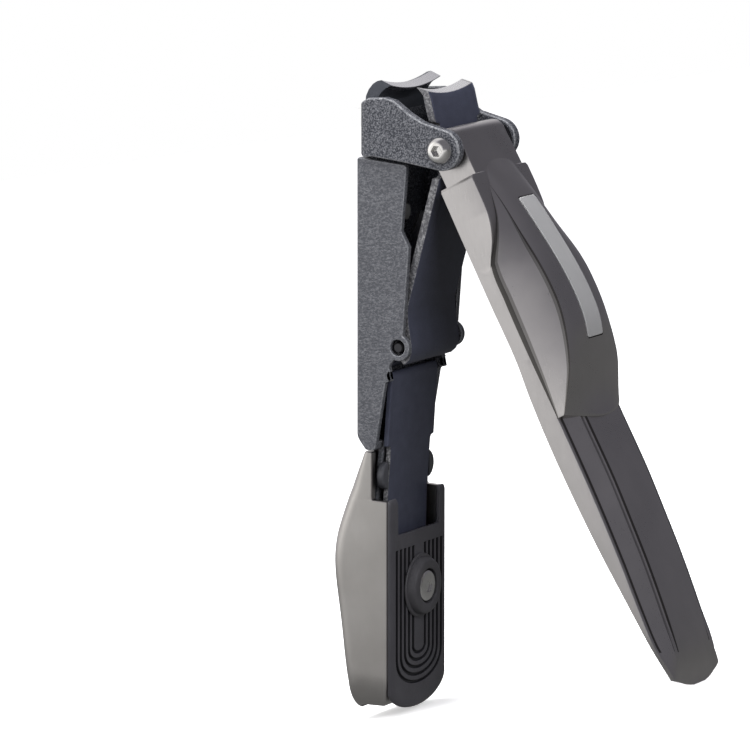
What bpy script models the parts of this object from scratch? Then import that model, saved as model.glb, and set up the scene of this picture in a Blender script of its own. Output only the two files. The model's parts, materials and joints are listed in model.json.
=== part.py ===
"""Heavy-duty lever nail clipper, standing open on its handle and its lever tip.

Everything is drawn in clipper coordinates, in millimetres: the lever's pivot is the origin, X runs
across the width, -Y is the lever's side, and Z runs along the body towards the jaws. One root empty
then leans the clipper until both feet stand on the floor.
"""
import math

import bmesh
import bpy
from mathutils import Matrix, Vector

MM = 0.001
GAP = 0.3                 # clearance between neighbours that touch or nearly touch

# Driving dimensions
BODY_HALF = 9.85          # half width of channel, housing and lever
CHANNEL_WALL = 1.1
CHANNEL_BACK = 16.5       # rear face of the channel
CHANNEL_TOP = -2.1
CHANNEL_END = -51.0

EAR_INNER = 8.95
EAR_THICK = 1.8
EAR_RADIUS = 3.4
WEB_FRONT = 13.2          # the bracket's web and strap
WEB_BACK = 14.4
STRAP_HALF = 8.2
STRAP_END = -45.0
JAW_HALF = 7.75           # half width of both cutting edges
JAW_DIP = 1.0             # how far the middle of a cutting edge lies below its ends

LEAF_THICK = 1.4
LEAF_HALF = 8.3
LEAF_WAIST = 6.5          # half width where the leaf passes between the lever's walls
LEAF_HINGE = (8.6, -33.4)
LUG_RADIUS = 2.45
PIN_RADIUS = 0.9

LEVER_NECK_HALF = 8.13
LEVER_NECK_END = -5.7
LEVER_TIP_SIDE = -93.4
LEVER_TIP_BULGE = 2.9
LEVER_REAR = 3.7          # rear edge of the lever's skirts, behind the pivot
LEVER_NECK_REAR = 3.3
LEVER_WALL = 1.25
LEVER_FRONT_WALL = 1.6
LEVER_OPEN = 28.3         # degrees from the body's axis

INLAY_TOP = -11.7
INLAY_END = -37.5
INLAY_HALF = 2.7

PLATE_FRONT = 9.75
PLATE_THICK = 0.8
PLATE_TOP = -59.2
PLATE_WINDOW_HALF = 7.25
PLATE_WINDOW_END = -65.5
HOUSING_WALL = 1.3
HOUSING_END = -93.6
HOUSING_BULGE = 3.2
BOSS_Z = -75.0
BOSS_RADIUS = 4.8

BUTTON_Z = -55.5
BUTTON_RADIUS = 2.45
BUTTON_REACH = 9.0        # outer end of a tab when it is drawn in
BUTTON_CHORD = 7.25       # its straight inner edge

# Fixings along the body's middle line
RIVET_UPPER_Z = -12.0
SPRING_RIVET_Z = -28.0
RIVET_LOWER_Z = -41.0
TONGUE_SCREW_Z = -61.0
RIVET_BORE = 1.3


# Outline and mesh helpers

def arc(centre, radius, start, end, steps):
    """Points on an arc, angles in degrees from +Y towards +Z."""
    points = []
    for i in range(steps + 1):
        angle = math.radians(start + (end - start) * i / steps)
        points.append((centre[0] + radius * math.cos(angle), centre[1] + radius * math.sin(angle)))
    return points


def through(points, at):
    """Smooth curve through (place, value) points, places falling, read at one place."""
    if at >= points[0][0]:
        return points[0][1]
    if at <= points[-1][0]:
        return points[-1][1]
    last = len(points) - 1
    slopes = []
    for i in range(last + 1):
        before = points[max(i - 1, 0)]
        after = points[min(i + 1, last)]
        slopes.append((after[1] - before[1]) / (after[0] - before[0]))
    i = next(k for k in range(last) if points[k][0] >= at >= points[k + 1][0])
    step = points[i + 1][0] - points[i][0]
    t = (at - points[i][0]) / step
    return ((2 * t**3 - 3 * t**2 + 1) * points[i][1] + (t**3 - 2 * t**2 + t) * step * slopes[i]
            + (3 * t**2 - 2 * t**3) * points[i + 1][1] + (t**3 - t**2) * step * slopes[i + 1])


def material(name, colour, metallic, roughness):
    made = bpy.data.materials.new(name)
    made.use_nodes = True
    shader = made.node_tree.nodes["Principled BSDF"]
    shader.inputs["Base Color"].default_value = (*colour, 1.0)
    shader.inputs["Metallic"].default_value = metallic
    shader.inputs["Roughness"].default_value = roughness
    return made


def finish(name, mesh_data, surface, parent, smooth_angle=35):
    """Turn a bmesh into a named object with its own material under its parent empty."""
    bmesh.ops.recalc_face_normals(mesh_data, faces=mesh_data.faces)
    if mesh_data.calc_volume(signed=True) < 0:
        bmesh.ops.reverse_faces(mesh_data, faces=mesh_data.faces)
    mesh = bpy.data.meshes.new(name)
    mesh_data.to_mesh(mesh)
    mesh_data.free()
    mesh.shade_smooth()
    mesh.set_sharp_from_angle(angle=math.radians(smooth_angle))
    made = bpy.data.objects.new(name, mesh)
    bpy.context.collection.objects.link(made)
    made.parent = parent
    if parent is not None and "axis_y" in parent:
        made.location = (0, -parent["axis_y"], -parent["axis_z"])
    if surface is not None:
        mesh.materials.append(surface)
    return made


def loft(rings):
    """Closed solid through a list of equal rings of (x, y, z) points in millimetres."""
    shape = bmesh.new()
    rows = [[shape.verts.new(Vector(p) * MM) for p in ring] for ring in rings]
    count = len(rings[0])
    for lower, upper in zip(rows, rows[1:]):
        for i in range(count):
            j = (i + 1) % count
            shape.faces.new((lower[i], lower[j], upper[j], upper[i]))
    shape.faces.new(rows[0])
    shape.faces.new(list(reversed(rows[-1])))
    if len(rings) > 2:
        sides = [face for face in shape.faces if len(face.verts) == 4]
        bmesh.ops.triangulate(shape, faces=sides)
    return shape


def side_prism(outline, x0, x1):
    """Solid between two X planes with an outline of (y, z) points."""
    return loft([[(x, y, z) for y, z in outline] for x in (x0, x1)])


def front_prism(outline, y0, y1):
    """Solid between two Y planes with an outline of (x, z) points."""
    return loft([[(x, y, z) for x, z in outline] for y in (y0, y1)])


def turned(profile, axis, centre, steps=24):
    """Solid of revolution: profile of (distance along axis, radius) points, ends on the axis."""
    shape = bmesh.new()
    rows = []
    for along, radius in profile:
        ring = []
        for i in range(1 if radius == 0 else steps):
            angle = 2 * math.pi * i / steps
            across = (radius * math.cos(angle), radius * math.sin(angle))
            point = (along, *across) if axis == "X" else (across[0], along, across[1])
            ring.append(shape.verts.new((Vector(point) + Vector(centre)) * MM))
        rows.append(ring)
    for first, second in zip(rows, rows[1:]):
        for i in range(steps):
            j = (i + 1) % steps
            if len(first) == 1:
                shape.faces.new((first[0], second[j], second[i]))
            elif len(second) == 1:
                shape.faces.new((first[i], first[j], second[0]))
            else:
                shape.faces.new((first[i], first[j], second[j], second[i]))
    return shape


def box(x0, x1, y0, y1, z0, z1):
    return side_prism([(y0, z0), (y1, z0), (y1, z1), (y0, z1)], x0, x1)


def helper(name, shape, parent):
    """A hidden cutter or joining piece."""
    made = finish(name, shape, None, parent)
    made.hide_render = True
    made.display_type = "WIRE"
    return made


def combine(target, other, operation):
    step = target.modifiers.new(other.name, "BOOLEAN")
    step.operation = operation
    step.solver = "EXACT"
    step.object = other


def cut(target, name, shape):
    combine(target, helper(name, shape, target.parent), "DIFFERENCE")


def add(target, name, shape):
    combine(target, helper(name, shape, target.parent), "UNION")


def rod(x0, x1, radius, centre, steps=24):
    """Round bar along X at a (y, z) centre."""
    profile = [(x0, 0), (x0, radius), (x1, radius), (x1, 0)]
    return turned(profile, "X", (0, centre[0], centre[1]), steps)


def rod_y(y0, y1, radius, x, z, steps=24):
    """Round bar along Y."""
    return turned([(y0, 0), (y0, radius), (y1, radius), (y1, 0)], "Y", (x, 0, z), steps)


def axis_empty(name, parent, y, z):
    """Empty on a joint's axis; its children are drawn in clipper coordinates."""
    made = bpy.data.objects.new(name, None)
    bpy.context.collection.objects.link(made)
    made.parent = parent
    made.location = (0, y * MM, z * MM)
    made["axis_y"] = y * MM
    made["axis_z"] = z * MM
    return made


# Spine: channel, rear jaw and their rivets

def channel_outline():
    hinge_y, hinge_z = LEAF_HINGE
    front = [(6.9, -3.0), (7.9, -14.0), (6.5, -16.5), (7.6, -31.2)]
    ring = arc(LEAF_HINGE, LUG_RADIUS, 115, 290, 10)
    slit = [(10.3, hinge_z - 3.3)] + arc((9.6, hinge_z - 4.8), 0.8, 60, -80, 4)
    tail = [(10.9, -39.4), (12.9, CHANNEL_END)]
    back = [(14.6, CHANNEL_END), (CHANNEL_BACK, -48.6), (CHANNEL_BACK, CHANNEL_TOP)]
    return front + ring + slit + tail + back


def make_channel(parent, paint):
    channel = finish("rear_channel", side_prism(channel_outline(), -BODY_HALF, BODY_HALF), paint, parent)
    inner = BODY_HALF - CHANNEL_WALL
    back = CHANNEL_BACK - 1.2
    hollow = [(0, 5), (back, 5), (back, -49.6), (12.5, -49.6), (12.5, -60), (0, -60)]
    cut(channel, "channel_hollow", side_prism(hollow, -inner, inner))
    cut(channel, "channel_lug_bore", rod(-12, 12, 1.35, LEAF_HINGE))
    tongue = [(12.5, -50.0), (13.4, -50.0), (15.5, -64.0), (14.6, -64.0)]
    add(channel, "channel_tongue", side_prism(tongue, -6.2, 6.2))
    for name, z in (("channel_rivet_hole_upper", RIVET_UPPER_Z), ("channel_rivet_hole_lower", RIVET_LOWER_Z)):
        cut(channel, name, rod_y(14.8, 17.5, RIVET_BORE, 0, z))
    cut(channel, "channel_tongue_hole", rod_y(13, 16.5, RIVET_BORE, 0, TONGUE_SCREW_Z))
    return channel


def cheek_outline():
    ear_front = arc((0, 0), EAR_RADIUS, 100, 280, 14)
    top = [(WEB_BACK, 7.4), (12.4, 8.9), (10.4, 9.3), (8.9, 9.1), (6.4, 7.2), (3.4, 5.0)]
    bottom = [(7.0, -2.0), (12.9, -1.1), (WEB_BACK, -1.3)]
    return top + ear_front + bottom


def claw_rings(profile, half, dip_from):
    """Rings across X whose upper points sink towards the middle, for a hollow cutting edge."""
    rings = []
    steps = 12
    for i in range(steps + 1):
        x = half * (2 * i / steps - 1)
        dip = JAW_DIP * (1 - (x / half) ** 2)
        ring = []
        for y, z in profile:
            weight = min(max((z - dip_from) / 3.0, 0.0), 1.0)
            ring.append((x, y, z - dip * weight))
        rings.append(ring)
    return rings


def make_bracket(parent, paint):
    outer = EAR_INNER + EAR_THICK
    bracket = finish("jaw_bracket", box(-outer, outer, WEB_FRONT, WEB_BACK, -1.3, 7.4), paint, parent)
    add(bracket, "cheek_left", side_prism(cheek_outline(), -outer, -EAR_INNER))
    add(bracket, "cheek_right", side_prism(cheek_outline(), EAR_INNER, outer))
    add(bracket, "bracket_strap", box(-STRAP_HALF, STRAP_HALF, WEB_FRONT, WEB_BACK, STRAP_END, 0))
    claw = [(WEB_FRONT, 5.0), (WEB_BACK - 0.1, 5.0), (WEB_BACK - 0.1, 7.6), (13.9, 9.2), (12.9, 10.4),
            (11.8, 10.8), (10.5, 10.0), (12.0, 9.0), (12.9, 7.8), (WEB_FRONT, 6.6)]
    add(bracket, "rear_claw", loft(claw_rings(claw, JAW_HALF, 6.4)))
    cut(bracket, "ear_bore", rod(-14, 14, 1.3, (0, 0)))
    for name, z in (("strap_hole_upper", RIVET_UPPER_Z), ("strap_hole_lower", RIVET_LOWER_Z)):
        cut(bracket, name, rod_y(12, 15, RIVET_BORE, 0, z))
    cut(bracket, "strap_spring_hole", rod_y(12, 15, 0.9, 0, SPRING_RIVET_Z))
    return bracket


def rivet(name, parent, surface, z, radius, inner_head, outer_end):
    """Rivet along Y: a low head in front at (face, thickness), countersunk flush behind."""
    in_face, in_thick = inner_head
    head = radius * 1.9
    profile = [(in_face - in_thick, 0), (in_face - in_thick, head * 0.7), (in_face - in_thick * 0.4, head),
               (in_face, head), (in_face, radius), (outer_end, radius), (outer_end, 0)]
    return finish(name, turned(profile, "Y", (0, 0, z), 20), surface, parent)


def make_rivets(parent, steel):
    for name, z in (("spine_rivet_upper", RIVET_UPPER_Z), ("spine_rivet_lower", RIVET_LOWER_Z)):
        rivet(name, parent, steel, z, 1.0, (WEB_FRONT - GAP, 0.7), CHANNEL_BACK - 0.1)


# Front jaw leaf, its pin and its spring

def leaf_front():
    """Front face of the leaf, from the cutting edge down to the hinge."""
    return [(4.0, 9.4), (3.0, 5.9), (2.55, 4.3), (2.0, 0.0), (1.3, -4.2), (7.5, -27.0), (7.2, -31.5)]


def make_leaf(parent, steel):
    front = leaf_front()
    back = [(y + LEAF_THICK, z) for y, z in reversed(front[1:-1])]
    outline = [(6.2, 9.8)] + front + arc(LEAF_HINGE, 2.1, 170, 380, 10) + back + [(5.0, 8.6)]
    leaf = finish("front_jaw_leaf", loft(claw_rings(outline, LEAF_HALF, 6.8)), steel, parent)
    cut(leaf, "leaf_bore", rod(-12, 12, 1.15, LEAF_HINGE, 22))
    tail = [(8.3, -35.0), (9.9, -34.3), (12.4, -36.4), (11.6, -37.3)]
    add(leaf, "leaf_tail", side_prism(tail, -LEAF_HALF + 0.4, LEAF_HALF - 0.4))
    for side in (-1, 1):
        beside = [(LEAF_WAIST, -5.0), (12, -5.0), (12, 14), (JAW_HALF, 14), (JAW_HALF, 4.0), (LEAF_WAIST, 4.0)]
        beside = [(side * x, z) for x, z in beside]
        cut(leaf, f"leaf_beside_{side}", front_prism(beside, -3, 11))
    return leaf


def make_leaf_pin(parent, steel):
    end = BODY_HALF - 0.25
    profile = [(-end, 0), (-end, PIN_RADIUS - 0.2), (-end + 0.2, PIN_RADIUS), (end - 0.2, PIN_RADIUS),
               (end, PIN_RADIUS - 0.2), (end, 0)]
    return finish("leaf_hinge_pin", turned(profile, "X", (0, *LEAF_HINGE)), steel, parent)


def make_return_spring(parent, steel):
    line = [(12.6, -30.5), (12.6, -25.5)]
    line += [(12.6 - 4.0 * t**1.5, -25.5 + 14.0 * t) for t in (0.2, 0.4, 0.6, 0.8, 1.0)]
    thick = 0.45
    outline = line + [(y - thick, z) for y, z in reversed(line)]
    spring = finish("jaw_return_spring", side_prism(outline, -2.6, 2.6), steel, parent)
    cut(spring, "spring_hole", rod_y(11, 14, 0.9, 0, SPRING_RIVET_Z))
    rivet("spring_rivet", parent, steel, SPRING_RIVET_Z, 0.6, (11.95, 0.5), WEB_BACK - 0.1)
    return spring


# Lower cover and handle

def make_lower_cover(parent, steel):
    thick = 0.9
    front = [(10.75, -38.45), (10.6, -39.2), (11.3, -50.0), (12.0, -59.0), (12.2, -66.5)]
    back = [(y + thick, z) for y, z in reversed(front[1:])]
    outline = [(11.35, -38.2)] + front + back
    cover = finish("lower_cover", side_prism(outline, -8.0, 8.0), steel, parent)
    for side in (-1, 1):
        x0, x1 = sorted((side * 6.9, side * 9))
        cut(cover, f"cover_side_{x0}", box(x0, x1, 5, 20, -70, -50.5))
    return cover


def bottomed(outline, half, start, bulge, steps=12):
    """Rings across X of a (y, z) outline whose low end is an arc seen from the front."""
    rings = []
    for i in range(steps + 1):
        x = half * (2 * i / steps - 1)
        sag = bulge * (1 - (x / half) ** 2)
        rings.append([(x, y, z - sag if z < start else z) for y, z in outline])
    return rings


def make_housing(parent, metal):
    front = PLATE_FRONT + PLATE_THICK + GAP
    outline = [(front, -59.8), (front, -92.0), (12.0, -93.4), (13.8, HOUSING_END), (16.3, -92.9),
               (17.8, -90.6), (19.2, -80.0), (20.4, -72.5), (20.4, -69.5), (19.2, -64.5), (14.9, -51.3),
               (13.4, -51.3), (13.4, -59.5)]
    housing = finish("handle_housing", loft(bottomed(outline, BODY_HALF, -90.8, HOUSING_BULGE)), metal, parent)
    hollow = [(5, -45), (5, -90.0), (13.4, -91.4), (15.6, -90.2), (17.4, -79.6), (18.6, -72.3), (18.6, -69.8),
              (17.6, -65.2), (14.2, -53.0), (14.2, -45)]
    inner = BODY_HALF - HOUSING_WALL
    cut(housing, "housing_hollow", side_prism(hollow, -inner, inner))
    add(housing, "housing_boss_post", rod_y(11.4, 19.0, 2.2, 0, BOSS_Z))
    add(housing, "housing_tongue_post", rod_y(15.8, 17.3, 2.0, 0, TONGUE_SCREW_Z, 22))
    cut(housing, "housing_boss_bore", rod_y(11.0, 16.5, 1.3, 0, BOSS_Z, 20))
    cut(housing, "housing_tongue_bore", rod_y(15.0, 17.0, 1.2, 0, TONGUE_SCREW_Z, 16))
    return housing


def plate_outline():
    """Grip plate seen from the front, (x, z)."""
    half = BODY_HALF - 0.05
    points = [(-PLATE_WINDOW_HALF, PLATE_TOP), (-half, PLATE_TOP)]
    steps = 14
    for i in range(steps + 1):
        x = half * (2 * i / steps - 1)
        points.append((x, -91.2 - 4.6 * math.sqrt(1 - 0.96 * (x / half) ** 2)))
    points += [(half, PLATE_TOP), (PLATE_WINDOW_HALF, PLATE_TOP)]
    points += [(PLATE_WINDOW_HALF, PLATE_WINDOW_END), (-PLATE_WINDOW_HALF, PLATE_WINDOW_END)]
    return points


def make_grip_plate(parent, plastic):
    rings = [[(x, y, z) for x, z in plate_outline()] for y in (PLATE_FRONT, PLATE_FRONT + PLATE_THICK)]
    plate = finish("grip_plate", loft(rings), plastic, parent)
    cut(plate, "plate_bore", rod_y(5, 15, 1.5, 0, BOSS_Z))
    return plate


def make_stop_boss(parent, plastic, steel):
    back = PLATE_FRONT - GAP
    profile = [(back, 1.5), (back, BOSS_RADIUS), (back - 0.5, BOSS_RADIUS), (back - 0.9, BOSS_RADIUS - 0.9),
               (back - 1.6, BOSS_RADIUS - 1.1), (back - 1.6, 3.0), (back - 0.7, 3.0), (back - 0.7, 1.5)]
    boss = bmesh.new()
    rows = []
    steps = 32
    for y, radius in profile:
        ring = [Vector((radius * math.cos(2 * math.pi * i / steps), y,
                        BOSS_Z + radius * math.sin(2 * math.pi * i / steps))) * MM for i in range(steps)]
        rows.append([boss.verts.new(p) for p in ring])
    for first, second in zip(rows, rows[1:] + rows[:1]):
        for i in range(steps):
            j = (i + 1) % steps
            boss.faces.new((first[i], first[j], second[j], second[i]))
    finish("stop_boss", boss, plastic, parent)
    seat = back - 0.7 - 0.2
    head = [(seat + 6.8, 0), (seat + 6.8, 1.0), (seat, 1.0), (seat, 2.7), (seat - 0.5, 2.7), (seat - 0.8, 2.3),
            (seat - 0.9, 0)]
    screw = finish("stop_boss_screw", turned(head, "Y", (0, 0, BOSS_Z)), steel, parent)
    cut(screw, "boss_screw_socket", rod_y(seat - 3, seat - 0.4, 1.1, 0, BOSS_Z, 6))


def make_tongue_screw(parent, steel):
    seat = 13.95
    profile = [(16.8, 0), (16.8, 0.8), (seat, 0.8), (seat, 1.7), (seat - 0.45, 1.5), (seat - 0.45, 0)]
    return finish("tongue_screw", turned(profile, "Y", (0, 0, TONGUE_SCREW_Z), 20), steel, parent)


def make_side_button(name, parent, side, plastic):
    """D-shaped tab that slides out of the handle's side."""
    centre = BUTTON_REACH - BUTTON_RADIUS
    half_turn = math.degrees(math.acos((BUTTON_CHORD - centre) / BUTTON_RADIUS))
    face = arc((centre, BUTTON_Z), BUTTON_RADIUS, -half_turn, half_turn, 12)
    rings = [[(side * x, y, z) for x, z in face] for y in (11.7, 13.1)]
    return finish(name, loft(rings), plastic, parent)


# Lever

CREST = [(3.1, -1.7), (2.2, -2.7), (-2.0, -3.0), (-4.0, -3.2), (-7.0, -4.3), (-12.0, -5.3), (-19.0, -6.3),
         (-25.5, -7.1), (-31.0, -7.2), (-35.3, -6.8), (-40.0, -5.2), (-45.0, -2.9), (-48.5, -1.6),
         (-60.0, -1.7), (-68.0, -1.3), (-75.0, -0.95), (-81.5, -0.35), (-87.0, 0.5), (-91.5, 1.7),
         (-93.4, 2.9)]
EDGE = [(3.1, -1.1), (2.2, -2.0), (-2.0, -2.5), (-10.0, -2.6), (-13.4, -2.4), (-16.2, -1.6), (-20.9, 0.6),
        (-27.7, 0.7), (-35.0, 0.5), (-45.0, 0.5), (-52.0, 0.9), (-61.0, 1.7), (-73.0, 2.3), (-81.5, 2.8),
        (-89.0, 3.2), (-93.4, 3.4)]
CREST_HALF = [(3.1, 6.4), (-4.0, 5.6), (-10.0, 5.6), (-24.0, 5.8), (-36.0, 6.4), (-44.0, 8.2), (-48.5, 8.4),
              (-49.5, 5.6), (-80.0, 5.4), (-93.4, 4.4)]


def lever_half(z):
    """Half width of the lever at a height: neck, full width, then the rounded tip."""
    if z > LEVER_NECK_END:
        return LEVER_NECK_HALF
    if z > -84:
        return BODY_HALF
    t = (z + 84) / (LEVER_TIP_SIDE + 84)
    return BODY_HALF - 1.6 * t * t


def lever_front(x, z):
    """Front surface of the lever at (x, z): crowned crest, then a scooped shoulder to the edge."""
    half = lever_half(z)
    crest = through(CREST, z)
    edge = max(through(EDGE, z), crest + 0.35)
    crest_half = min(through(CREST_HALF, z), half - 0.8)
    across = abs(x)
    brow = crest + 0.35
    if across <= crest_half:
        return crest + 0.35 * (across / crest_half) ** 2
    out = (across - crest_half) / (half - crest_half)
    return brow + (edge - brow) * (1 - (1 - min(out, 1.0)) ** 1.7)


def lever_rear(z):
    if z > 0:
        return math.sqrt(LEVER_NECK_REAR**2 - z * z)
    if z > LEVER_NECK_END:
        return LEVER_NECK_REAR
    return LEVER_REAR


def tip_sag(x, z):
    """The tip is an arc seen from the front, so low stations sag in the middle."""
    weight = min(max((-80 - z) / (-80 - LEVER_TIP_SIDE), 0.0), 1.0)
    return LEVER_TIP_BULGE * weight * (1 - (x / BODY_HALF) ** 2)


def lever_stations():
    return [3.1, 2.2, 0.5, -2, -4, LEVER_NECK_END + 0.1, LEVER_NECK_END - 0.1, -8, -11, -14, -17, -21, -25,
            -30, -35, -40, -44, -48.5, -49.5, -55, -62, -70, -77, -83, -88, -91.5, LEVER_TIP_SIDE]


def make_lever_shell(parent, metal):
    rings = []
    for z in lever_stations():
        half = lever_half(z)
        crest_half = min(through(CREST_HALF, z), half - 0.8)
        columns = [crest_half * f for f in (0, 0.4, 0.75, 1.0)]
        columns += [crest_half + (half - crest_half) * f for f in (0.2, 0.45, 0.7, 1.0)]
        across = [-x for x in reversed(columns[1:])] + columns
        ring = [(x, lever_front(x, z), z - tip_sag(x, z)) for x in across]
        rear = max(lever_rear(z), ring[0][1] + 0.15)
        ring += [(half, rear, z), (-half, rear, z)]
        rings.append(ring)
    lever = finish("lever_shell", loft(rings), metal, parent)
    cut(lever, "lever_hollow", loft(lever_hollow_rings()))
    cut(lever, "lever_bore", rod(-12, 12, 1.8, (0, 0)))
    cut(lever, "lever_inlay_pocket", loft(inlay_rings(INLAY_HALF + GAP, GAP, -2, 0.95)))
    return lever


def lever_hollow_rings():
    rings = []
    stations = [4.5, 2.4, 0, -2, -5.5, -8, -12, -17, -21, -26, -31, -36, -41, -45, -50, -58, -66, -74, -81,
                -87, -90.5]
    for z in stations:
        half = LEVER_NECK_HALF - LEVER_WALL
        if z < -60:
            half = half + (4.4 - half) * (z + 60) / (-90.5 + 60)
        ring = []
        for i in range(11):
            x = half * (i / 5 - 1)
            deep = max(lever_front(x, z), lever_front(min(abs(x) + 1.2, lever_half(z)), z)) + LEVER_FRONT_WALL
            ring.append((x, min(deep, 3.4), z))
        ring += [(half, 9, z), (-half, 9, z)]
        rings.append(ring)
    return rings


def inlay_rings(half, margin, proud, deep):
    """Rings of a strip that follows the crest, from `proud` above it to `deep` below it."""
    rings = []
    steps = 12
    for i in range(steps + 1):
        z = INLAY_TOP + margin + (INLAY_END - INLAY_TOP - 2 * margin) * i / steps
        top = through(CREST, z)
        rings.append([(-half, top + proud, z), (half, top + proud, z), (half, top + deep, z),
                      (-half, top + deep, z)])
    return rings


def make_inlay(parent, metal):
    return finish("inlay_strip", loft(inlay_rings(INLAY_HALF, 0, -0.1, 0.6)), metal, parent)


def make_cam_block(parent, steel):
    outline = arc((1.7, -5.2), 1.5, -90, 90, 8) + [(-0.6, -3.7), (-0.6, -6.7)]
    return finish("cam_block", side_prism(outline, -6.4, 6.4), steel, parent)


# Pivot

def make_pivot(parent, chrome, black):
    barrel = finish("pivot_barrel", rod(-8.05, 8.05, 1.55, (0, 0)), black, parent)
    outer = EAR_INNER + EAR_THICK
    for name, side in (("left", -1), ("right", 1)):
        bore = sorted((side * 4.5, side * 12))
        cut(barrel, f"barrel_bore_{name}", rod(bore[0], bore[1], 1.2, (0, 0)))
        seat = outer + 0.2
        profile = [(5.0, 0), (5.0, 1.0), (seat, 1.0), (seat, 2.2), (seat + 0.4, 2.2), (seat + 0.95, 1.85),
                   (seat + 1.35, 1.3), (seat + 1.5, 0)]
        profile = [(side * x, radius) for x, radius in profile]
        screw = finish(f"pivot_screw_{name}", turned(profile, "X", (0, 0, 0)), chrome, parent)
        socket = sorted((side * (seat + 0.45), side * (seat + 3)))
        cut(screw, f"screw_socket_{name}", rod(socket[0], socket[1], 0.95, (0, 0), 6))
        inner_face, outer_face = sorted((side * 8.3, side * 8.75))
        washer = finish(f"pivot_washer_{name}", rod(inner_face, outer_face, 2.5, (0, 0)), black, parent)
        cut(washer, f"washer_bore_{name}", rod(-12, 12, 1.3, (0, 0)))


# Assembly

def drawn_points(objects):
    """World positions of every corner of the objects."""
    graph = bpy.context.evaluated_depsgraph_get()
    points = []
    for item in objects:
        evaluated = item.evaluated_get(graph)
        mesh = evaluated.to_mesh()
        points += [evaluated.matrix_world @ vertex.co for vertex in mesh.vertices]
        evaluated.to_mesh_clear()
    return points


def stand_up(root, handle_parts, lever_parts):
    """Lean the clipper until the handle and the lever's tip both touch the floor at z = 0."""
    bpy.context.view_layer.update()
    handle = drawn_points(handle_parts)
    lever = drawn_points(lever_parts)
    lean = 0.0
    for _ in range(30):
        turn = Matrix.Rotation(lean, 3, "X")
        foot_handle = min((turn @ p for p in handle), key=lambda p: p.z)
        foot_lever = min((turn @ p for p in lever), key=lambda p: p.z)
        lean += math.atan2(foot_lever.z - foot_handle.z, foot_handle.y - foot_lever.y)
    turn = Matrix.Rotation(lean, 3, "X")
    drawn = [item for item in bpy.data.objects if item.type == "MESH" and not item.hide_render]
    everything = [turn @ p for p in drawn_points(drawn)]
    middle = (min(p.y for p in everything) + max(p.y for p in everything)) / 2
    root.rotation_euler.x = lean
    root.location = (0, -middle, -min(p.z for p in everything))


def build():
    for item in list(bpy.data.objects):
        bpy.data.objects.remove(item, do_unlink=True)
    root = bpy.data.objects.new("clipper", None)
    bpy.context.collection.objects.link(root)
    lever_axis = axis_empty("lever_axis", root, 0, 0)
    leaf_axis = axis_empty("leaf_axis", root, *LEAF_HINGE)

    hammertone = material("hammertone_paint", (0.11, 0.115, 0.13), 0.3, 0.45)
    bracket_paint = material("bracket_paint", (0.07, 0.073, 0.085), 0.3, 0.45)
    blued = material("blued_steel", (0.03, 0.033, 0.045), 0.6, 0.35)
    cover_steel = material("cover_steel", (0.032, 0.035, 0.048), 0.5, 0.4)
    satin = material("satin_gunmetal", (0.42, 0.40, 0.38), 0.9, 0.35)
    housing_satin = material("housing_satin", (0.40, 0.38, 0.36), 0.9, 0.35)
    plate_black = material("grip_plastic", (0.04, 0.04, 0.045), 0.0, 0.5)
    boss_black = material("boss_plastic", (0.035, 0.035, 0.04), 0.0, 0.45)
    button_black = material("button_plastic", (0.03, 0.03, 0.035), 0.0, 0.45)
    chrome = material("screw_chrome", (0.75, 0.75, 0.76), 1.0, 0.2)
    steel = material("plain_steel", (0.45, 0.45, 0.47), 1.0, 0.35)
    black = material("black_steel", (0.02, 0.02, 0.025), 0.7, 0.4)
    silver = material("inlay_silver", (0.72, 0.72, 0.72), 0.9, 0.4)

    make_channel(root, hammertone)
    make_bracket(root, bracket_paint)
    make_rivets(root, steel)
    make_leaf_pin(root, black)
    make_return_spring(root, steel)
    make_lower_cover(root, cover_steel)
    housing = make_housing(root, housing_satin)
    make_grip_plate(root, plate_black)
    make_stop_boss(root, boss_black, chrome)
    make_tongue_screw(root, steel)
    make_side_button("side_button_left", root, -1, button_black)
    make_side_button("side_button_right", root, 1, button_black)
    make_pivot(root, chrome, black)
    make_leaf(leaf_axis, blued)
    lever = make_lever_shell(lever_axis, satin)
    make_inlay(lever_axis, silver)
    make_cam_block(lever_axis, black)
    lever_axis.rotation_euler.x = -math.radians(LEVER_OPEN)
    stand_up(root, [housing], [lever])
    bpy.context.view_layer.update()


build()
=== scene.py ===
"""Looks of the lever nail clipper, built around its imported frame.

Pieces are drawn in clipper coordinates, in millimetres: the lever's pivot is the origin, X runs across
the width, -Y is the lever's side and Z runs along the body towards the jaws. BODY and LEVER carry those
coordinates to the frame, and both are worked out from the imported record.
"""
import json
import math

import bmesh
import bpy
from mathutils import Matrix, Vector


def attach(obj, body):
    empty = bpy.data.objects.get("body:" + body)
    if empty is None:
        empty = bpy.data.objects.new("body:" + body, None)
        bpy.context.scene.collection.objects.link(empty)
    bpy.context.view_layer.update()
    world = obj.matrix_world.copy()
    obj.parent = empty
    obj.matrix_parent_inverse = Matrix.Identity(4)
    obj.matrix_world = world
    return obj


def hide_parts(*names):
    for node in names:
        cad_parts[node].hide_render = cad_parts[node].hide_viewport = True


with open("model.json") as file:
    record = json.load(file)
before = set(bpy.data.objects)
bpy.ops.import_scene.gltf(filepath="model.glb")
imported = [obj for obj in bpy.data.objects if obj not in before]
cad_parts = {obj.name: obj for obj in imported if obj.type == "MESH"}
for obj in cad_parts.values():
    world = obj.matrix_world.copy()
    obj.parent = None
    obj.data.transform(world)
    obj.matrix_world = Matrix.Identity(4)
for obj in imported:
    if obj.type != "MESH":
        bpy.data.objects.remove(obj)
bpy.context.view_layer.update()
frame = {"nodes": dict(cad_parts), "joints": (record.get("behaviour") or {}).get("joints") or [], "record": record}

MM = 0.001
WELD = 1e-4               # points closer than this, in millimetres, become one
TURNED_STEPS = 64
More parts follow.
